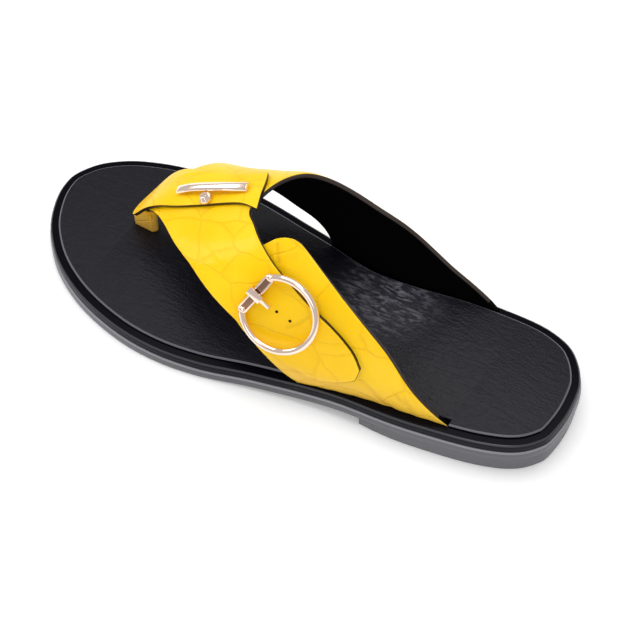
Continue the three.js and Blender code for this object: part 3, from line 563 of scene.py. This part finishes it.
rose_metal = metal_material("rose_metal", color=(0.93, 0.74, 0.62), roughness=0.13)
RING_AT = Vector((-0.00932, 0.02915, 0.05921))
RING_UP = Vector((-0.1034, 0.8337, 0.5425)).normalized()
TO_BAR = Vector((0.9203, -0.1268, 0.3702)).normalized()
RING_MEAN = 0.0188
RING_WIRE = 0.00175
BAR_MIDDLE = 0.0146
ring_axes = Matrix((TO_BAR, RING_UP.cross(TO_BAR), RING_UP)).transposed().to_4x4()
ring_frame = Matrix.Translation(RING_AT) @ ring_axes
bpy.ops.object.select_all(action="DESELECT")
bpy.ops.mesh.primitive_torus_add(
    major_segments=96, minor_segments=20, major_radius=RING_MEAN, minor_radius=RING_WIRE
)
ring = bpy.context.object
ring.name = "buckle_ring"
bpy.ops.object.mode_set(mode="EDIT")
bpy.ops.mesh.select_all(action="SELECT")
bpy.ops.mesh.bisect(
    plane_co=(BAR_MIDDLE, 0, 0), plane_no=(1, 0, 0), clear_outer=True, use_fill=True
)
bpy.ops.object.mode_set(mode="OBJECT")
ring.data.transform(ring_frame)
ring.data.materials.append(rose_metal)
finish_piece(ring, "metal", "buckle_frame", smooth_below=40)

# Buckle bar: the straight side of the D, a flat bar soldered between the ends of the ring. Its
# face is sunk between two bright rails and is the plated metal painted darker as shade.
END_GAPS = 0.0006
RAIL_OFFSET = 0.0019
RAIL_WIDE = 0.001
RAIL_HIGH = 0.0022
FACE_WIDE = 0.0036
FACE_HIGH = 0.0014
FACE_SUNK = 0.0002
RAIL_ROUNDING = 0.0003
# The face's darker metal is painted shade.
shaded_metal = metal_material("shaded_metal", color=(0.3, 0.17, 0.11), roughness=0.3)
bar_length = 2 * math.sqrt(RING_MEAN ** 2 - BAR_MIDDLE ** 2) - END_GAPS
for name, offset, wide, high, lift, material in (
    ("bar_face", 0, FACE_WIDE, FACE_HIGH, -FACE_SUNK, shaded_metal),
    ("bar_rail_front", RAIL_OFFSET, RAIL_WIDE, RAIL_HIGH, 0, rose_metal),
    ("bar_rail_back", -RAIL_OFFSET, RAIL_WIDE, RAIL_HIGH, 0, rose_metal),
):
    bpy.ops.object.select_all(action="DESELECT")
    bpy.ops.mesh.primitive_cube_add(size=1)
    rail = bpy.context.object
    rail.name = name
    rail.data.transform(Matrix.Diagonal((wide, bar_length, high, 1)))
    rail.data.transform(Matrix.Translation((BAR_MIDDLE + offset, 0, lift)))
    apply_modifier(rail, "BEVEL", width=RAIL_ROUNDING, segments=3, limit_method="ANGLE")
    rail.data.transform(ring_frame)
    rail.data.materials.append(material)
    finish_piece(rail, "metal")

# Shoulders: the small rounded lumps of the same plated metal where the ring runs into the two
# ends of the bar.
SHOULDER_RADIUS = 0.00185
SHOULDER_STRETCH = 1.25
for name, end in (("shoulder_front", 0.5), ("shoulder_back", -0.5)):
    bpy.ops.object.select_all(action="DESELECT")
    bpy.ops.mesh.primitive_uv_sphere_add(segments=24, ring_count=16, radius=SHOULDER_RADIUS)
    shoulder = bpy.context.object
    shoulder.name = name
    shoulder.data.transform(Matrix.Diagonal((SHOULDER_STRETCH, 1, 1, 1)))
    shoulder.data.transform(ring_frame @ Matrix.Translation((BAR_MIDDLE, bar_length * end, 0)))
    shoulder.data.materials.append(rose_metal)
    finish_piece(shoulder, "metal", smooth_below=60)

# Prong and wire loop: the short tongue wrapped round the bar, and the wire under the strap that
# holds the buckle to the quarter. Both are drawn wire in the same rose gold.
prong = copy_node("buckle_prong", "prong", rose_metal)
round_edges(prong, ARRIS)
finish_piece(prong, "metal", "buckle_prong")
wire = copy_node("buckle_loop", "wire_loop", rose_metal)
finish_piece(wire, "metal", "buckle_loop")

# Punched holes: two small round holes in the strap inside the ring, punched through the leather
# and left raw. Each is a thin dark disc laid on the skin, partly the raw edge's colour and partly
# painted shade for the open hole.
HOLE_RADIUS = 0.00075
HOLE_DEPTH = 0.0004
HOLE_ROUNDING = 0.0001
ABOVE_STRAP = 0.01
hole_shade = grained_material(
    "hole_shade", color=(0.01, 0.004, 0.002), roughness=0.9, depth=0.0001, specular=0.1, Pores=700
)
for name, along, side in (("hole_front", 0.0018, 0.0011), ("hole_back", -0.0058, 0.0002)):
    seat = ring_frame @ Vector((along, side, 0))
    _, spot, normal, _ = strap.ray_cast(seat + RING_UP * ABOVE_STRAP, -RING_UP)
    bpy.ops.object.select_all(action="DESELECT")
    bpy.ops.mesh.primitive_cylinder_add(vertices=24, radius=HOLE_RADIUS, depth=HOLE_DEPTH)
    hole = bpy.context.object
    hole.name = name
    round_edges(hole, HOLE_ROUNDING)
    turn = normal.to_track_quat("Z", "Y").to_matrix().to_4x4()
    hole.data.transform(Matrix.Translation(spot) @ turn)
    hole.data.materials.append(hole_shade)
    finish_piece(hole, "strap")

# Ridge ornament: a slightly arched bar of polished rose gold riveted to the saddle, and beside it
# one small faceted stud whose flats stay sharp.
BAR_BACK = 0.0346
BAR_FRONT = 0.0718
BAR_ARCH = 0.0022
BAR_ARCH_WAY = Vector((0.45, 0, 0.89))
BAR_SIDEWAYS = 0.0012
BAR_CUTS_MM = range(37, 71, 3)
BAR_ROUNDING = 0.0006
STUD_ARRIS = 0.00015
ridge_bar = copy_node("ornament_bar", "ridge_bar", rose_metal)
bpy.ops.object.mode_set(mode="EDIT")
for cut in BAR_CUTS_MM:
    bpy.ops.mesh.select_all(action="SELECT")
    bpy.ops.mesh.bisect(plane_co=(cut / MM_PER_METRE, 0, 0), plane_no=(1, 0, 0))
bpy.ops.object.mode_set(mode="OBJECT")
for vertex in ridge_bar.data.vertices:
    share = (vertex.co.x - BAR_BACK) / (BAR_FRONT - BAR_BACK)
    vertex.co += BAR_ARCH_WAY * BAR_ARCH * (1 - (2 * share - 1) ** 2)
    vertex.co.y += BAR_SIDEWAYS * share
round_edges(ridge_bar, BAR_ROUNDING, segments=3)
finish_piece(ridge_bar, "metal", "ornament_bar")
ridge_stud = copy_node("ornament_stud", "ridge_stud", rose_metal)
round_edges(ridge_stud, STUD_ARRIS, sharper_than=20)
finish_piece(ridge_stud, "metal", "ornament_stud", smooth_below=12)

# Studio: a plain white floor under a soft white sky, one wide lamp overhead, one in front and
# one at the toe. The camera stands where the photo's did and turns to frame the one shoe.
FLOOR_WIDTH = 12
FLOOR_GLOW = 0.12
SKY_LIGHT = 0.6
LAMPS_AIM = Vector((0, 0, 0.03))
CAMERA_AT = Vector((-0.3403, 0.5088, 0.9788))
CAMERA_TO = Vector((-0.0106, -0.0003, 0.02))
CAMERA_UP = Vector((0.4125, -0.7017, 0.5809))
LENS_MM = 132
SENSOR_MM = 36
VIEW_END = 20
bpy.ops.object.select_all(action="DESELECT")
bpy.ops.mesh.primitive_plane_add(size=FLOOR_WIDTH, location=(0, 0, 0))
floor = bpy.context.object
floor.name = "studio_floor"
floor_paint = bpy.data.materials.new("floor_paint")
floor_paint.use_nodes = True
floor_shader = floor_paint.node_tree.nodes["Principled BSDF"]
floor_shader.inputs["Base Color"].default_value = (0.99, 0.99, 0.99, 1)
floor_shader.inputs["Emission Color"].default_value = (1, 1, 1, 1)
floor_shader.inputs["Emission Strength"].default_value = FLOOR_GLOW
floor_shader.inputs["Roughness"].default_value = 0.9
floor_shader.inputs["Specular IOR Level"].default_value = 0
floor.data.materials.append(floor_paint)
sky = bpy.data.worlds.new("studio_sky")
sky.use_nodes = True
sky.node_tree.nodes["Background"].inputs["Color"].default_value = (1, 1, 1, 1)
sky.node_tree.nodes["Background"].inputs["Strength"].default_value = SKY_LIGHT
scene.world = sky
for name, place, size, power in (
    ("lamp_above", (0.05, -0.25, 1.4), 1.2, 10),
    ("lamp_front", (-0.5, 1.2, 1.2), 0.8, 4),
    ("lamp_toe", (1.2, 0.2, 0.9), 0.6, 5),
):
    bpy.ops.object.light_add(type="AREA", location=place)
    lamp = bpy.context.object
    lamp.name = name
    lamp.data.size = size
    lamp.data.energy = power
    lamp.rotation_euler = (LAMPS_AIM - Vector(place)).to_track_quat("-Z", "Y").to_euler()
scene.view_settings.view_transform = "Standard"
back = (CAMERA_AT - CAMERA_TO).normalized()
right = CAMERA_UP.cross(back).normalized()
camera_axes = Matrix((right, back.cross(right), back)).transposed().to_4x4()
bpy.ops.object.camera_add(location=CAMERA_AT)
camera = bpy.context.object
camera.name = "photo_camera"
camera.matrix_world = Matrix.Translation(CAMERA_AT) @ camera_axes
camera.data.lens = LENS_MM
camera.data.sensor_width = SENSOR_MM
camera.data.clip_end = VIEW_END
scene.camera = camera

bpy.ops.object.select_all(action="DESELECT")
